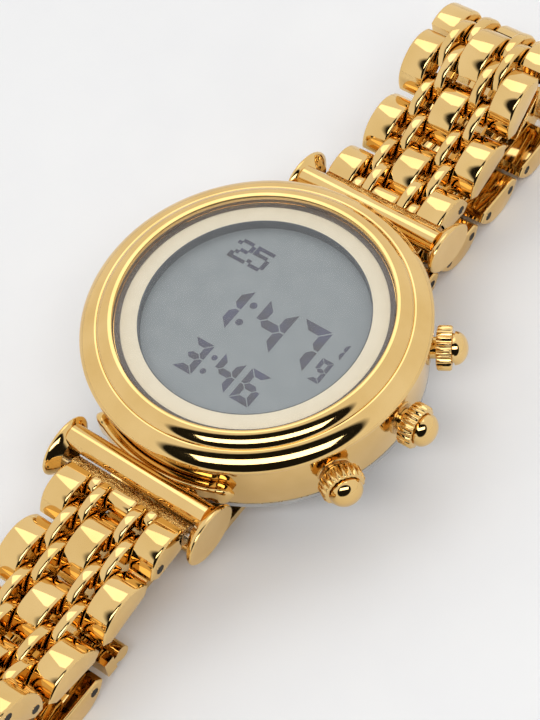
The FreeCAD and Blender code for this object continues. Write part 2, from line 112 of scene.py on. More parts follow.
# Crystal's printed ring, dial ring and display
CRYSTAL_RADIUS, PRINT_DEPTH, PRINT_GAP, PRINT_OVERLAP = 15.1, 0.06, 0.01, 0.05
DIAL_RING_OUTSIDE, DIAL_RING_DEPTH = 14.5, 0.3
DIAL_RING_TOP = [(14.5, 0.06), (14.35, 0.01), (12.95, 0.01)]
DIAL_RING_LIP = 0.08
DIAL_RING_GAP = 0.05
DISPLAY_RADIUS, DISPLAY_DEPTH, DISPLAY_GAP = 12.6, 1.2, 0.08
WALL_INSIDE, WALL_OUTSIDE = 0.06, 0.04
WALL_INSIDE_DROP, WALL_OUTSIDE_DROP = 0.09, 0.06

# Pushers, as (distance from the dial's axis, radius, share of the flute depth)
FLUTES = 22
FLUTE_DEPTH = 0.24
PUSHER_RINGS = [
    (17.6, 1.2, 0),
    (19.13, 1.2, 0),
    (19.14, 2.1, 0),
    (19.2, 2.32, 0.3),
    (19.35, 2.45, 1),
    (20.6, 2.45, 1),
    (20.8, 2.32, 0.4),
    (20.88, 2.05, 0),
    (20.9, 1.62, 0),
    (21.08, 1.62, 0),
]
COLLAR_RINGS = [(18.1, 1.9, 0), (18.36, 1.9, 0), (18.42, 1.84, 0), (18.42, 1.3, 0), (18.1, 1.3, 0)]
DOME_START, DOME_RADIUS, DOME_REACH = 21.1, 1.85, 1.44
DOME_TIP = 0.02
DOME_STEPS, STEPS_PER_FLUTE, COLLAR_STEPS = 12, 8, 48

# Cross bars: the rod, its oval caps as (depth, share of the full size), and the horns
BAR_REACH, BAR_HEIGHT, BAR_RADIUS = 20.7, 5.8, 1.35
BAR_IN_CAP, BAR_STEPS = 0.5, 64
CAP_INSIDE = 8.6
CAP_REACH, CAP_HEIGHT, CAP_TILT = 21.7, 4.4, 12.0
CAP_LONG, CAP_SHORT = 3.65, 2.65
CAP_SHAPE = [(0.0, 0.62), (0.45, 0.8), (0.85, 0.94), (1.1, 0.99), (1.28, 1.0), (1.42, 0.985), (1.5, 0.95)]
CAP_STEPS = 72
HORN_LOW, HORN_HIGH, HORN_SWEEP = 3.4, 5.8, 29.0
HORN_THICKNESS, HORN_ROUND, HORN_STEPS = 1.3, 0.4, 40
HORN_END_SHARES, HORN_SHARE = [0.15, 0.72, 1.0, 1.1, 1.06, 0.88], 0.92

# Links
ROWS = 8
COLUMN_WIDTHS = [3.2, 1.25, 1.25, 3.3, 1.25, 1.25, 3.2]
COLUMN_GAP = 0.12
OUTER_COLUMNS, INNER_COLUMNS = (0, 2, 4, 6), (1, 3, 5)
LINK_LENGTH, LINK_HEIGHT = 7.7, 3.4
PIN_ABOVE_FLAT = 1.2
LINK_EDGE, LINK_CORNER = 0.9, 0.75
ROW_PINS, END_LINK_PINS = 4.6, 4.5
PIN_RADIUS, PIN_COVER, PIN_STEPS = 0.42, 0.3, 20
LINK_BEVEL, BEVEL_STEPS, CROWN_STEPS = 0.34, 5, 18

# End links: where their columns start and stop, and how their crowns lean
END_LINK_BACK, END_LINK_BACK_LIFT, END_LINK_BACK_RISE, END_LINK_BACK_DROP = -4.35, 0.9, 1.0, 0.8
END_LINK_FRONT, END_LINK_LEAN = 1.55, 0.6
END_MIDDLE_FRONT, END_MIDDLE_CORNER, END_MIDDLE_CREST = -2.325, 0.25, (-2.9, 1.3)
END_LINK_STEPS = 15

# Pitted barrel: radius, depth of its pits, and the waves that place them
BARREL_RADIUS, PIT_DEPTH = 1.25, 0.07
BARREL_STEPS, BARREL_SIDES = 90, 40
PIT_WAVES = ((2.1, 1.3), (1.7, -2.3))

# Drilled pin ends, as (distance out of the link's side, radius); the near black floor of each hole is painted
# shade, and the rows next to the case have none
PIN_RIM = [(-0.05, 0.62), (0.02, 0.6), (0.02, 0.55), (-0.01, 0.54)]
PIN_HOLE_SHADE = [(-0.04, 0.54), (0.012, 0.54), (0.012, 0.02)]
PIN_END_STEPS = 28
PLAIN_ROWS = 2

# Figures in dots, or in bars: top, upper right, lower right, bottom, lower left, upper left, middle
BARS = {
    "1": "0110000", "3": "1111001", "4": "0110011", "6": "1011111", "7": "1110000", "9": "1111011",
}
DOTS = {
    "2": ["01110", "10001", "00001", "00110", "01000", "10000", "11111"],
    "5": ["11111", "10000", "11110", "00001", "00001", "10001", "01110"],
}
BAR_GAP_SHARE = 0.1
DOT_WIDTH, DOT_HEIGHT = 1.25, 1.15
ROUND_DOT_SIDES = 24
INK_LIFT = 0.015

# Where the photograph shows them: each one's left edge, foot, width and height, and the thickness of its bars
DATE = [("2", -7.35, 4.6, 2.2, 2.85), ("5", -4.95, 4.6, 2.2, 2.85)]
TIME = [("1", -4.6, -3.4, 3.1, 5.8, 1.08), ("4", 0.6, -3.4, 3.8, 5.8, 1.08), ("7", 5.1, -3.4, 3.7, 5.8, 1.08)]
SECONDS = [("9", 9.7, -3.7, 1.5, 3.0, 0.5), ("1", 9.85, -0.1, 1.5, 2.3, 0.42)]
SECOND_TIME = [
    ("3", -3.4, -10.0, 2.5, 4.3, 0.8),
    ("4", 0.7, -10.0, 2.75, 4.3, 0.8),
    ("6", 4.2, -10.0, 2.55, 4.3, 0.8),
]
TIME_COLON = [(-0.63, 0.74, 0.43), (-0.63, -1.81, 0.43)]
SECOND_COLON = [(-0.05, -6.9, 0.35), (-0.05, -8.9, 0.35)]
# They were placed at the fitted point's height, and this moves them along the view as they sink to the film
VIEW_X, VIEW_Y = -0.507, 0.481


def principled(name):
    """A new material with its nodes, its links and its shader."""
    material = bpy.data.materials.new(name)
    material.use_nodes = True
    tree = material.node_tree
    return material, tree.nodes, tree.links, tree.nodes["Principled BSDF"]


def noise(nodes, links, scale, detail, stretch=(1, 1, 1)):
    """Noise in the piece's own metres, stretched where the surface was worked along one way."""
    where = nodes.new("ShaderNodeTexCoord")
    mapping = nodes.new("ShaderNodeMapping")
    mapping.inputs["Scale"].default_value = stretch
    links.new(where.outputs["Object"], mapping.inputs["Vector"])
    texture = nodes.new("ShaderNodeTexNoise")
    texture.inputs["Scale"].default_value = scale
    texture.inputs["Detail"].default_value = detail
    links.new(mapping.outputs["Vector"], texture.inputs["Vector"])
    return texture.outputs["Fac"]


def ramp(nodes, links, source, low, high):
    """A colour between low and high, by the noise."""
    colours = nodes.new("ShaderNodeValToRGB")
    colours.color_ramp.elements[0].position = NOISE_LOW
    colours.color_ramp.elements[1].position = NOISE_HIGH
    colours.color_ramp.elements[0].color = (*low, 1)
    colours.color_ramp.elements[1].color = (*high, 1)
    links.new(source, colours.inputs["Fac"])
    return colours.outputs["Color"]


def spread(nodes, links, source, low, high):
    """A number between low and high, by the noise."""
    span = nodes.new("ShaderNodeMapRange")
    span.inputs["From Min"].default_value = NOISE_LOW
    span.inputs["From Max"].default_value = NOISE_HIGH
    span.inputs["To Min"].default_value = low
    span.inputs["To Max"].default_value = high
    links.new(source, span.inputs["Value"])
    return span.outputs["Result"]


def relief(nodes, links, shader, source, strength, distance):
    """A fine relief in the shader's normal."""
    bump = nodes.new("ShaderNodeBump")
    bump.inputs["Strength"].default_value = strength
    bump.inputs["Distance"].default_value = distance
    links.new(source, bump.inputs["Height"])
    links.new(bump.outputs["Normal"], shader.inputs["Normal"])


def surface(name, low, high, metallic, rough, grain, bump, stretch=(1, 1, 1)):
    """A colour that varies slowly, a roughness that varies finely, and a fine relief."""
    material, nodes, links, shader = principled(name)
    shader.inputs["Metallic"].default_value = metallic
    slow = noise(nodes, links, grain * COLOUR_GRAIN_SHARE, SLOW_DETAIL)
    fine = noise(nodes, links, grain, FINE_DETAIL, stretch)
    links.new(ramp(nodes, links, slow, low, high), shader.inputs["Base Color"])
    links.new(spread(nodes, links, fine, rough[0], rough[1]), shader.inputs["Roughness"])
    relief(nodes, links, shader, fine, bump[0], bump[1] * MM)
    return material


def clear_glass():
    """The thin flat crystal: nearly all light goes straight through it."""
    material, nodes, links, shader = principled("crystal_glass")
    shader.inputs["Base Color"].default_value = (0.8, 0.82, 0.82, 1)
    shader.inputs["Alpha"].default_value = 0.06
    fine = noise(nodes, links, 900.0, SLOW_DETAIL)
    links.new(spread(nodes, links, fine, 0.01, 0.04), shader.inputs["Roughness"])
    return material


GOLD = surface("polished_gold", low=(0.76, 0.5, 0.185), high=(0.84, 0.58, 0.245), metallic=1.0,
               rough=(0.03, 0.085), grain=1500.0, bump=(0.05, 0.004))
GOLD_SATIN = surface("satin_gold", low=(0.72, 0.47, 0.18), high=(0.84, 0.6, 0.28), metallic=1.0,
                     rough=(0.2, 0.34), grain=2500.0, bump=(0.15, 0.01))
GLITTER = surface("porous_gold", low=(0.5, 0.25, 0.05), high=(0.9, 0.58, 0.2), metallic=1.0,
                  rough=(0.12, 0.4), grain=3200.0, bump=(1.0, 0.4))
STEEL = surface("brushed_steel", low=(0.42, 0.42, 0.42), high=(0.6, 0.6, 0.59), metallic=1.0,
                rough=(0.22, 0.38), grain=2200.0, bump=(0.2, 0.01), stretch=(1, 1, 9))
CHAMPAGNE = surface("champagne_ring", low=(0.85, 0.75, 0.55), high=(0.89, 0.79, 0.59), metallic=0.0,
                    rough=(0.5, 0.62), grain=5200.0, bump=(0.35, 0.02))
DISPLAY = surface("display_film", low=(0.245, 0.275, 0.285), high=(0.275, 0.305, 0.315), metallic=0.0,
                  rough=(0.38, 0.5), grain=3800.0, bump=(0.12, 0.01))
INK = surface("display_ink", low=(0.045, 0.04, 0.055), high=(0.055, 0.055, 0.12), metallic=0.0,
              rough=(0.4, 0.55), grain=4000.0, bump=(0.05, 0.005))
BROWN = surface("crystal_print", low=(0.055, 0.032, 0.016), high=(0.08, 0.047, 0.024), metallic=0.0,
                rough=(0.25, 0.35), grain=3500.0, bump=(0.05, 0.005))
# The display wall's near black colour is painted shade cast by the dial ring, not the wall's own colour.
PAINTED_WALL_SHADE = surface("display_wall_painted_shade", low=(0.06, 0.066, 0.078), high=(0.09, 0.098, 0.112), metallic=0.0,
                rough=(0.4, 0.55), grain=3500.0, bump=(0.05, 0.005))
RUBBER = surface("black_rubber", low=(0.02, 0.02, 0.02), high=(0.035, 0.035, 0.035), metallic=0.0,
                 rough=(0.6, 0.75), grain=3000.0, bump=(0.3, 0.02))
PLASTIC = surface("dark_plastic", low=(0.03, 0.03, 0.035), high=(0.05, 0.05, 0.055), metallic=0.0,
                  rough=(0.4, 0.55), grain=3000.0, bump=(0.2, 0.01))
BOARD = surface("green_board", low=(0.01, 0.09, 0.04), high=(0.02, 0.14, 0.06), metallic=0.0,
                rough=(0.3, 0.45), grain=2500.0, bump=(0.2, 0.01))
# Near black floor of each pin hole: painted shade in a hole only a few hundredths of a millimetre deep.
PAINTED_HOLE_SHADE = surface("drilled_hole_painted_shade", low=(0.012, 0.009, 0.006), high=(0.03, 0.022, 0.014), metallic=0.6,
              rough=(0.35, 0.6), grain=3000.0, bump=(0.3, 0.02))
FLOOR = surface("floor_paper", low=(0.93, 0.93, 0.935), high=(0.95, 0.95, 0.95), metallic=0.0,
                rough=(0.6, 0.75), grain=900.0, bump=(0.05, 0.02))
GLASS = clear_glass()


def smooth_by_angle(bm):
    """Smooth faces with sharp edges where the surface turns by more than the angle."""
    bmesh.ops.recalc_face_normals(bm, faces=bm.faces)
    limit = math.radians(SHARP_TURN)
    for surface_face in bm.faces:
        surface_face.smooth = True
    for edge in bm.edges:
        edge.smooth = len(edge.link_faces) == 2 and edge.calc_face_angle(0) < limit


def as_mesh(name, bm, material):
    """A smooth mesh in metres from mesh code in millimetres."""
    smooth_by_angle(bm)
    bmesh.ops.scale(bm, vec=(MM, MM, MM), verts=bm.verts)
    mesh = bpy.data.meshes.new(name)
    bm.to_mesh(mesh)
    bm.free()
    mesh.materials.append(material)
    return mesh


def in_scene(name, data):
    """A new object with the data, in the scene."""
    made = bpy.data.objects.new(name, data)
    bpy.context.scene.collection.objects.link(made)
    return made


def riding(name, mesh, body, nodes):
    """A visible piece that rides on a body and takes the place of the nodes."""
    made = in_scene(name, mesh)
    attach(made, body)
    if nodes:
        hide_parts(*nodes)


def piece(name, bm, material, body, nodes=()):
    """A piece whose mesh code is already in its place."""
    riding(name, as_mesh(name, bm, material), body, nodes)


def placed(name, mesh, body, matrix, nodes=()):
    """A piece that is a copy of a mesh, carried into place by the matrix."""
    mesh = mesh.copy()
    mesh.transform(matrix)
    riding(name, mesh, body, nodes)


def skin(bm, rings, closed_path=False):
    """Faces between closed rings of as many points each, with a cap on each end of an open path."""
    rows = [[bm.verts.new(p) for p in ring] for ring in rings]
    count = len(rows[0])
    pairs = list(zip(rows, rows[1:]))
    if closed_path:
        pairs.append((rows[-1], rows[0]))
    for first, second in pairs:
        for k in range(count):
            n = (k + 1) % count
            bm.faces.new((first[k], first[n], second[n], second[k]))
    if not closed_path:
        bm.faces.new(rows[0])
        bm.faces.new(list(reversed(rows[-1])))


def rounded(profile, amount):
    """A closed outline with each corner rounded by a short curve."""
    result = []
    count = len(profile)
    for k in range(count):
        before, corner, after = (Vector(profile[(k + d) % count]) for d in (-1, 0, 1))
        a = corner + (before - corner).normalized() * min(amount, (before - corner).length * CORNER_SHARE)
        b = corner + (after - corner).normalized() * min(amount, (after - corner).length * CORNER_SHARE)
        for s in range(CORNER_STEPS + 1):
            t = s / CORNER_STEPS
            result.append((1 - t) ** 2 * a + 2 * t * (1 - t) * corner + t * t * b)
    return result


def lathe(profile):
    """A ring round the dial's axis from a closed outline of (radius, height)."""
    bm = bmesh.new()
    rings = []
    for k in range(LATHE_STEPS):
        angle = 2 * math.pi * k / LATHE_STEPS
        rings.append([(r * math.cos(angle), r * math.sin(angle), z) for r, z in profile])
    skin(bm, rings, closed_path=True)
    return bm


def bulge(centre, radius_out, radius_up, start, end, steps, power=1.0):
    """Points of a crest by angle in degrees, from outwards to inwards. A higher power flattens its slope."""
    points = []
    for k in range(steps + 1):
        angle = math.radians(start + (end - start) * k / steps)
        out, up = math.cos(angle), math.sin(angle)
        along = math.copysign(abs(out) ** power, out)
        above = math.copysign(abs(up) ** power, up)
        points.append((centre[0] + radius_out * along, centre[1] + radius_up * above))
    return points


# Heights of the case, taken from the model
band_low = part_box("case_body")[0].z / MM
band_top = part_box("case_body")[1].z / MM
bezel_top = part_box("bezel")[1].z / MM
crystal_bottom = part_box("crystal")[0].z / MM
display_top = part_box("lcd_panel")[1].z / MM
ring_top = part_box("dial_ring")[1].z / MM
surface_height = cad_box[0][2]


def bezel():
    """A rounded outer ring, a groove, and a rounded inner ring that rises to the crystal."""
    shelf = crystal_bottom - PRINT_DEPTH
    flange = band_top + BEZEL_FLANGE
    lip = (LIP_MIDDLE, band_top + LIP_ROUND)
    outer = (OUTER_MIDDLE, band_top + OUTER_LIFT)
    inner = (INNER_MIDDLE, bezel_top - INNER_RISE)
    profile = [(CASE_INSIDE, band_top), (BEZEL_FOOT, band_top)]
    profile += bulge(lip, LIP_ROUND, LIP_ROUND, LIP_START, 0, LIP_STEPS)
    profile += bulge(outer, OUTER_WIDTH, OUTER_RISE, OUTER_START, CREST_END, CREST_STEPS, CREST_POWER)
    profile += bulge(inner, INNER_WIDTH, INNER_RISE, INNER_START, CREST_END, CREST_STEPS, CREST_POWER)
    profile.append((BEZEL_MOUTH + MOUTH_ROUND, bezel_top - MOUTH_DROP))
    profile += [(BEZEL_MOUTH, bezel_top - MOUTH_WALL), (BEZEL_MOUTH, shelf)]
    profile += [(BEZEL_BORE, shelf), (BEZEL_BORE, flange), (CASE_INSIDE, flange)]
    piece("bezel_ring", lathe(profile), GOLD, "case", nodes=("bezel",))


def band():
    """The gold band of the case, with soft edges."""
    corners = [(CASE_INSIDE, band_low), (CASE_RADIUS, band_low)]
    corners += [(CASE_RADIUS, band_top), (CASE_INSIDE, band_top)]
    profile = [tuple(p) for p in rounded(corners, CASE_EDGE)]
    piece("case_band", lathe(profile), GOLD, "case", nodes=("case_body",))


def back():
    """The steel back, whose rim shows under the gold band."""
    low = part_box("case_back")[0].z / MM
    profile = [(AXIS_GAP, low)]
    profile += [(radius, low + lift) for radius, lift in BACK_RIM]
    profile += [(BACK_RADIUS, low + BACK_STEP), (BACK_RADIUS, band_low), (AXIS_GAP, band_low)]
    piece("steel_back", lathe(profile), STEEL, "case", nodes=("case_back",))


def display():
    """The display film at the bottom of a short wall, whose dark colour is painted shade."""
    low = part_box("lcd_panel")[0].z / MM
    top = display_top - DISPLAY_DEPTH
    edge = DISPLAY_RADIUS - DISPLAY_GAP
    film = [(FILM_AXIS_GAP, low), (edge, low), (edge, top), (FILM_AXIS_GAP, top)]
    piece("display_film", lathe(film), DISPLAY, "case", nodes=("lcd_panel",))
    inside, outside = DISPLAY_RADIUS - WALL_INSIDE, DISPLAY_RADIUS + WALL_OUTSIDE
    wall = [(inside, low), (outside, low)]
    wall += [(outside, ring_top - WALL_OUTSIDE_DROP), (inside, ring_top - WALL_INSIDE_DROP)]
    # The wall round the film is coloured dark as painted shade.
    piece("display_wall_painted_shade", lathe(wall), PAINTED_WALL_SHADE, "case")


def crystal_print():
    """The dark printed ring under the rim of the crystal."""
    low, high = crystal_bottom - PRINT_DEPTH + PRINT_GAP, crystal_bottom - PRINT_GAP
    inner = BEZEL_BORE - PRINT_OVERLAP
    profile = [(inner, low), (CRYSTAL_RADIUS, low), (CRYSTAL_RADIUS, high), (inner, high)]
    piece("crystal_edge_print", lathe(profile), BROWN, "case")


def dial_step():
    """The dial ring, with a chamfered inner lip."""
    inside = DISPLAY_RADIUS + DIAL_RING_GAP
    low = display_top - DIAL_RING_DEPTH
    profile = [(inside, low), (DIAL_RING_OUTSIDE, low)]
    profile += [(radius, ring_top - drop) for radius, drop in DIAL_RING_TOP]
    profile.append((inside, ring_top - DIAL_RING_LIP))
    piece("champagne_dial_ring", lathe(profile), CHAMPAGNE, "case", nodes=("dial_ring",))


def around(axis_matrix, rings, steps):
    """Rings of (height, radius, share of the flute depth) round the local Z of a matrix."""
    bm = bmesh.new()
    outlines = []
    for height, radius, share in rings:
        outline = []
        for k in range(steps):
            angle = 2 * math.pi * k / steps
            wave = FLUTE_DEPTH * share * (0.5 - 0.5 * math.cos(FLUTES * angle))
            r = radius - wave
            outline.append(axis_matrix @ Vector((r * math.cos(angle), r * math.sin(angle), height)))
        outlines.append(outline)
    skin(bm, outlines)
    return bm


def axis_frame(origin, direction):
    """A frame with Z along the direction."""
    z = Vector(direction).normalized()
    x = z.cross(Vector((0, 0, 1))) if abs(z.z) < 0.9 else Vector((1, 0, 0))
    x.normalize()
    y = z.cross(x)
    turn = Matrix((x, y, z)).transposed().to_4x4()
    return Matrix.Translation(Vector(origin)) @ turn


def pushers():
    """Each pusher's fluted grip with its dome, and the collar that its stem runs in."""
    for joint in frame["joints"]:
        if joint["type"] != "slide":
            continue
        name = joint["child"]
        outwards = -Vector(joint["axis"])
        low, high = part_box(name)
        at = axis_frame((0, 0, (low.z + high.z) / 2 / MM), outwards)
        rings = list(PUSHER_RINGS)
        for k in range(DOME_STEPS + 1):
            angle = math.radians(90 * k / DOME_STEPS)
            radius = max(DOME_RADIUS * math.cos(angle), DOME_TIP)
            rings.append((DOME_START + DOME_REACH * math.sin(angle), radius, 0))
        piece(name + "_grip", around(at, rings, FLUTES * STEPS_PER_FLUTE), GOLD, name, nodes=(name,))
        piece(name + "_collar", around(at, COLLAR_RINGS, COLLAR_STEPS), GOLD_SATIN, "case")


def cross_bar(side):
    """The rod, its two flared oval caps with soft rims, and the horn that hugs the case."""
    turn = Matrix.Rotation(0 if side == 12 else math.pi, 4, "Z")
    label = f"tbar_{side}"
    half_rod = CAP_INSIDE + BAR_IN_CAP
    rod = [(-half_rod, BAR_RADIUS, 0), (half_rod, BAR_RADIUS, 0)]
    at = turn @ axis_frame((0, BAR_REACH, BAR_HEIGHT), (1, 0, 0))
    piece(label + "_rod", around(at, rod, BAR_STEPS), GOLD, "case", nodes=(label,))
    for hand in (-1, 1):
        piece(f"{label}_cap_{hand + 1}", cap(turn, hand), GOLD, "case")
    piece(label + "_horn", horn(turn), GOLD, "case")


def cap(turn, hand):
    """An oval cap on one end of the rod, tilted down along the bracelet."""
    bm = bmesh.new()
    tilt = Matrix.Rotation(math.radians(-CAP_TILT), 3, "X")
    outlines = []
    for depth, share in CAP_SHAPE:
        outline = []
        middle = Vector((hand * (CAP_INSIDE + depth), CAP_REACH, CAP_HEIGHT))
        for k in range(CAP_STEPS):
            angle = 2 * math.pi * k / CAP_STEPS
            flat = Vector((0, CAP_LONG * share * math.cos(angle), CAP_SHORT * share * math.sin(angle)))
            flat.rotate(tilt)
            outline.append(turn @ (flat + middle))
        outlines.append(outline)
    skin(bm, outlines)
    return bm


def horn(turn):
    """A bar along the case with a knob at each end."""
    inside, outside = CASE_RADIUS, CASE_RADIUS + HORN_THICKNESS
    corners = [(inside, HORN_LOW), (outside, HORN_LOW), (outside, HORN_HIGH), (inside, HORN_HIGH)]
    section = rounded(corners, HORN_ROUND)
    middle = Vector((CASE_RADIUS + HORN_THICKNESS / 2, (HORN_LOW + HORN_HIGH) / 2))
    bm = bmesh.new()
    rings = []
    for k in range(HORN_STEPS + 1):
        angle = math.radians(90 - HORN_SWEEP + 2 * HORN_SWEEP * k / HORN_STEPS)
        from_end = min(k, HORN_STEPS - k)
        share = HORN_END_SHARES[from_end] if from_end < len(HORN_END_SHARES) else HORN_SHARE
        ring = []
        for p in section:
            r, z = middle + (p - middle) * share
            ring.append(turn @ Vector((r * math.cos(angle), r * math.sin(angle), z)))
        rings.append(ring)
    skin(bm, rings)
    return bm


def link_outline():
    """A half moon on its flat, with small rounds at its lower corners."""
    half = LINK_LENGTH / 2
    flat = -PIN_ABOVE_FLAT
    crown = LINK_HEIGHT + flat
    foot = flat + LINK_EDGE
    rise = crown - foot
    radius = (half**2 + rise**2) / (2 * rise)
    reach = math.asin(half / radius)
    points = [(LINK_CORNER - half, flat), (half - LINK_CORNER, flat)]
    for k in range(CROWN_STEPS + 1):
        angle = reach * (1 - 2 * k / CROWN_STEPS)
        points.append((radius * math.sin(angle), crown - radius + radius * math.cos(angle)))
    return points


def end_outline(front, chamfer, crest):
    """The outline of an end link's column, low at the case and round over its front."""
    flat = -PIN_ABOVE_FLAT
    foot = flat + LINK_EDGE
    points = [(END_LINK_BACK, END_LINK_BACK_LIFT), (END_LINK_BACK + END_LINK_BACK_RISE, flat)]
    points += [(front - chamfer, flat), (front, foot)]
    start, middle = Vector((front, foot)), Vector(crest)
    end = Vector((END_LINK_BACK, flat + LINK_HEIGHT - END_LINK_BACK_DROP))
    control = 2 * middle - (start + end) / 2
    for k in range(1, END_LINK_STEPS + 1):
        t = k / END_LINK_STEPS
        points.append(tuple((1 - t) ** 2 * start + 2 * t * (1 - t) * control + t * t * end))
    return points


def column_starts():
    """The left edge and width of each of the seven columns."""
    left = -(sum(COLUMN_WIDTHS) + COLUMN_GAP * (len(COLUMN_WIDTHS) - 1)) / 2
    starts = []
    for width in COLUMN_WIDTHS:
        starts.append((left, width))
        left += width + COLUMN_GAP
    return starts


def add_columns(bm, outline, picked):
    """Blocks with softly rounded rims, one for each picked column."""
    centre = Vector((sum(p[0] for p in outline), sum(p[1] for p in outline))) / len(outline)
    for k in picked:
        left, width = column_starts()[k]
        rings = []
        for step in range(BEVEL_STEPS + 1):
            turn = math.radians(90 * step / BEVEL_STEPS)
            rings.append((left + LINK_BEVEL * (1 - math.cos(turn)), LINK_BEVEL * (1 - math.sin(turn))))
        ends = rings + [(2 * left + width - x, shrink) for x, shrink in reversed(rings)]
        outlines = []
        for x, shrink in ends:
            ring = []
            for y, z in outline:
                away = Vector((y, z)) - centre
                share = 1 - shrink / away.length
                ring.append((x, centre[0] + away[0] * share, centre[1] + away[1] * share))
            outlines.append(ring)
        skin(bm, outlines)


def circle(x, radius, steps, along=0, height=0):
    """Points round an axis across the bracelet."""
    points = []
    for k in range(steps):
        angle = 2 * math.pi * k / steps
        points.append((x, along + radius * math.cos(angle), height + radius * math.sin(angle)))
    return points


def add_pin(bm, along):
    """A pin across the bracelet that ends inside the outer columns."""
    edge = column_starts()[0][0] + PIN_COVER
    skin(bm, [circle(x, PIN_RADIUS, PIN_STEPS, along) for x in (edge, -edge)])


def row_mesh():
    """Four columns on their two pins."""
    bm = bmesh.new()
    add_columns(bm, link_outline(), OUTER_COLUMNS)
    for hand in (-1, 1):
        add_pin(bm, hand * ROW_PINS / 2)
    return as_mesh("link_row", bm, GOLD)


def half_row_mesh():
    """Three columns."""
    bm = bmesh.new()
    add_columns(bm, link_outline(), INNER_COLUMNS)
    return as_mesh("link_half_row", bm, GOLD)


def end_link_mesh():
    """The link beside the case: seven columns in one, and its pin."""
    bm = bmesh.new()
    crown = LINK_HEIGHT - PIN_ABOVE_FLAT
    crest = ((END_LINK_FRONT + END_LINK_BACK) / 2 + END_LINK_LEAN, crown)
    add_columns(bm, end_outline(END_LINK_FRONT, LINK_CORNER, crest), OUTER_COLUMNS)
    add_columns(bm, end_outline(END_MIDDLE_FRONT, END_MIDDLE_CORNER, END_MIDDLE_CREST), INNER_COLUMNS)
    add_pin(bm, 0)
    return as_mesh("end_link", bm, GOLD)


def glitter_mesh():
    """The coarse barrel between the cross bar and the end link, its surface pitted."""
    bm = bmesh.new()
    edge = column_starts()[0][0]
    (first_k, first_s), (second_k, second_s) = PIT_WAVES
    rings = []
    for k in range(BARREL_STEPS + 1):
        x = edge - 2 * edge * k / BARREL_STEPS
        ring = []
        for s in range(BARREL_SIDES):
            angle = 2 * math.pi * s / BARREL_SIDES
            pit = PIT_DEPTH * math.sin(k * first_k + s * first_s) * math.sin(k * second_k + s * second_s)
            radius = BARREL_RADIUS - PIT_DEPTH + pit
            ring.append((x, -END_LINK_PINS + radius * math.cos(angle), radius * math.sin(angle)))
        rings.append(ring)
    skin(bm, rings)
    return as_mesh("glitter_barrel", bm, GLITTER)


def turned_mesh(name, profile, material):
    """A small turned shape in the side of a link, from (distance out of the side, radius)."""
    bm = bmesh.new()
    skin(bm, [circle(x, radius, PIN_END_STEPS) for x, radius in profile])
    return as_mesh(name, bm, material)


def strap_frame(side, start, end):
    """The frame half way between two pins, with Y outwards along the bracelet."""
    across = Vector((1, 0, 0)) if side == 12 else Vector((-1, 0, 0))
    along = (end - start).normalized()
    up = across.cross(along)
    turn = Matrix((across, along, up)).transposed().to_4x4()
    return Matrix.Translation((start + end) / 2) @ turn


def bracelet():
    """Every link of both halves, half way between its own pin and the next one."""
    pins = {j["child"]: Vector(j["pos_m"]) for j in frame["joints"] if j["type"] == "hinge"}
    row, half_row, end_link, glitter = row_mesh(), half_row_mesh(), end_link_mesh(), glitter_mesh()
    rim = turned_mesh("pin_end_rim", PIN_RIM, GOLD)
    # The floor of each hole is a near black disc: painted shade.
    floor = turned_mesh("pin_end_painted_shade", PIN_HOLE_SHADE, PAINTED_HOLE_SHADE)
    edge = column_starts()[0][0] * MM
    for side in (12, 6):
        chain = [f"end_link_{side}"]
        for k in range(1, ROWS + 1):
            chain += [f"half_row_{side}_{k}", f"row_{side}_{k}"]
        chain.append(f"clasp_end_{side}")
        for place, (name, after) in enumerate(zip(chain, chain[1:])):
            at = strap_frame(side, pins[name], pins[after])
            spots = ()
            if place == 0:
                at = at @ Matrix.Translation((0, END_LINK_PINS / 2 * MM, 0))
                placed(name + "_block", end_link, name, at, (name,))
                placed(name + "_glitter", glitter, name, at)
                spots = (0,)
            elif place % 2:
                placed(name + "_links", half_row, name, at, (name,))
            else:
                placed(name + "_links", row, name, at, (name,))
                if place / 2 > PLAIN_ROWS:
                    spots = (-ROW_PINS / 2, ROW_PINS / 2)
            for number, spot in enumerate(spots):
                for hand in (-1, 1):
                    flip = Matrix.Rotation(0 if hand > 0 else math.pi, 4, "Z")
                    where = at @ Matrix.Translation((-edge * hand, spot * MM, 0)) @ flip
                    placed(f"{name}_pin_end_{number}_{hand + 1}", rim, name, where)
                    placed(f"{name}_pin_hole_{number}_{hand + 1}", floor, name, where)


def add_flat(bm, corners):
    """A flat shape just over the film."""
    height = display_top - DISPLAY_DEPTH + INK_LIFT
    drop = FITTED_POINT[2] - height
    bm.faces.new([bm.verts.new((x + VIEW_X * drop, y + VIEW_Y * drop, height)) for x, y in corners])


def add_bars(bm, figure, left, low, width, height, thick):
    """One seven-bar figure, its lower left corner at left and low."""
    half, gap = thick / 2, thick * BAR_GAP_SHARE
    right, high, middle = left + width, low + height, low + height / 2

    def across(edge, inwards):
        inner = edge + inwards * thick
        outside = [(left + gap, edge), (right - gap, edge)]
        add_flat(bm, outside + [(right - thick - gap, inner), (left + thick + gap, inner)])

    def beside(edge, inwards, end, upwards):
        inner = edge + inwards * thick
        near, far = middle + upwards * gap, end - upwards * gap
        outside = [(edge, far), (edge, near), (edge + inwards * half, near)]
        add_flat(bm, outside + [(inner, near + upwards * half), (inner, far - upwards * thick)])

    def between():
        first, last = left + half + gap, right - half - gap
        top = [(first, middle), (first + half, middle + half), (last - half, middle + half)]
        add_flat(bm, top + [(last, middle), (last - half, middle - half), (first + half, middle - half)])

    draws = [
        lambda: across(high, -1),
        lambda: beside(right, -1, high, 1),
        lambda: beside(right, -1, low, -1),
        lambda: across(low, 1),
        lambda: beside(left, 1, low, -1),
        lambda: beside(left, 1, high, 1),
        between,
    ]
    for on, draw in zip(BARS[figure], draws):
        if on == "1":
            draw()


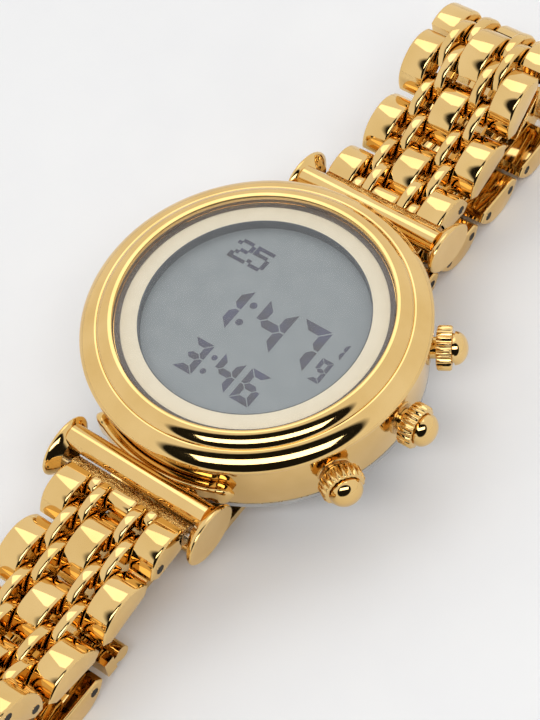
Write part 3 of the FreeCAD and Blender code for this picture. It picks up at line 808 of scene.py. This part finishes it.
def add_dots(bm, figure, left, low, width, height):
    """One figure of square dots, its lower left corner at left and low."""
    lines = DOTS[figure]
    step_x, step_y = width / len(lines[0]), height / len(lines)
    for r, line in enumerate(lines):
        for c, on in enumerate(line):
            if on == "1":
                x, y = left + c * step_x, low + height - (r + 1) * step_y
                a, b = step_x * DOT_WIDTH, step_y * DOT_HEIGHT
                add_flat(bm, [(x, y), (x + a, y), (x + a, y + b), (x, y + b)])


def add_round_dot(bm, x, y, radius):
    """One round dot of a colon."""
    angles = [k * 2 * math.pi / ROUND_DOT_SIDES for k in range(ROUND_DOT_SIDES)]
    add_flat(bm, [(x + radius * math.cos(angle), y + radius * math.sin(angle)) for angle in angles])


def figures():
    """The date in dots, the time and a second time in bars, and the seconds beside the time."""
    bm = bmesh.new()
    for place in DATE:
        add_dots(bm, *place)
    for place in TIME + SECONDS + SECOND_TIME:
        add_bars(bm, *place)
    for place in TIME_COLON + SECOND_COLON:
        add_round_dot(bm, *place)
    piece("display_figures", bm, INK, "case")


def finish_nodes():
    """Materials for the nodes, which show where no piece takes their place."""
    looks = {
        "crystal": GLASS,
        "lcd_panel": DISPLAY,
        "module_frame": PLASTIC,
        "circuit_board": BOARD,
        "battery": STEEL,
        "case_back": STEEL,
        "back_gasket": RUBBER,
        "pusher_tubes": GOLD_SATIN,
        "spring_bar_12": STEEL,
        "spring_bar_6": STEEL,
    }
    for name, node in frame["nodes"].items():
        node.data.materials.clear()
        node.data.materials.append(looks.get(name, GOLD))


def camera():
    """The camera fitted to the photograph, aimed past the fitted point by its shifts."""
    azimuth, elevation, roll = (math.radians(a) for a in (AZIMUTH, ELEVATION, ROLL))
    level = math.cos(elevation)
    back = Vector((math.sin(azimuth) * level, -math.cos(azimuth) * level, math.sin(elevation)))
    right = Vector((math.cos(azimuth), math.sin(azimuth), 0))
    up = back.cross(right)
    image_right = math.cos(roll) * right + math.sin(roll) * up
    image_up = -math.sin(roll) * right + math.cos(roll) * up
    place = Vector(FITTED_POINT) + back * DISTANCE + image_right * SHIFT_RIGHT + image_up * SHIFT_UP
    data = bpy.data.cameras.new("camera")
    data.sensor_fit = "VERTICAL"
    data.sensor_height = SENSOR_HEIGHT
    data.lens = FOCAL_PIXELS * SENSOR_HEIGHT / PHOTO_HEIGHT
    data.clip_start = CLIP_START
    made = in_scene("camera", data)
    turn = Matrix((image_right, image_up, back)).transposed().to_4x4()
    made.matrix_world = Matrix.Translation(place * MM) @ turn
    bpy.context.scene.camera = made


def softbox(name, place, width, height, power):
    """A rectangular light aimed at the middle of the object."""
    data = bpy.data.lights.new(name, "AREA")
    data.shape = "RECTANGLE"
    data.size, data.size_y = width, height
    data.energy = power
    made = in_scene(name, data)
    made.location = place
    made.rotation_euler = (-Vector(place)).to_track_quat("-Z", "Y").to_euler()


def studio():
    """A pale floor, a broad softbox above, a wide one over the photographer, and the room round them."""
    bm = bmesh.new()
    for x, y in ((-1, -1), (1, -1), (1, 1), (-1, 1)):
        bm.verts.new((x * FLOOR_REACH, y * FLOOR_REACH, surface_height))
    bm.faces.new(bm.verts)
    mesh = bpy.data.meshes.new("floor")
    bm.to_mesh(mesh)
    bm.free()
    mesh.materials.append(FLOOR)
    in_scene("floor", mesh)
    for name, values in SOFTBOXES.items():
        softbox(name, *values)
    room()


def room():
    """A pale room that is dark on the side where the photographer stood."""
    world = bpy.data.worlds.new("room")
    bpy.context.scene.world = world
    world.use_nodes = True
    nodes, links = world.node_tree.nodes, world.node_tree.links
    background = nodes["Background"]
    background.inputs["Color"].default_value = (1, 1, 1, 1)
    where = nodes.new("ShaderNodeTexCoord")
    facing = nodes.new("ShaderNodeVectorMath")
    facing.operation = "DOT_PRODUCT"
    facing.inputs[1].default_value = DARK_SIDE
    links.new(where.outputs["Generated"], facing.inputs[0])
    height = nodes.new("ShaderNodeSeparateXYZ")
    links.new(where.outputs["Generated"], height.inputs[0])
    dark = nodes.new("ShaderNodeMath")
    dark.operation = "MULTIPLY"
    links.new(step_up(nodes, links, facing.outputs["Value"], *DARK_SIDE_FADE), dark.inputs[0])
    links.new(step_up(nodes, links, height.outputs["Z"], *HORIZON_FADE), dark.inputs[1])
    tone = nodes.new("ShaderNodeMapRange")
    tone.inputs["To Min"].default_value = ROOM_LIGHT
    tone.inputs["To Max"].default_value = ROOM_DARK
    links.new(dark.outputs[0], tone.inputs["Value"])
    links.new(tone.outputs["Result"], background.inputs["Strength"])


def step_up(nodes, links, source, low, high):
    """Nought below low, one above high, and a fade between them."""
    step = nodes.new("ShaderNodeMapRange")
    step.inputs["From Min"].default_value = low
    step.inputs["From Max"].default_value = high
    links.new(source, step.inputs["Value"])
    return step.outputs["Result"]


camera()
finish_nodes()
band()
bezel()
back()
display()
crystal_print()
dial_step()
pushers()
for dial_side in (12, 6):
    cross_bar(dial_side)
bracelet()
figures()
studio()
bpy.context.scene.view_settings.view_transform = "Standard"
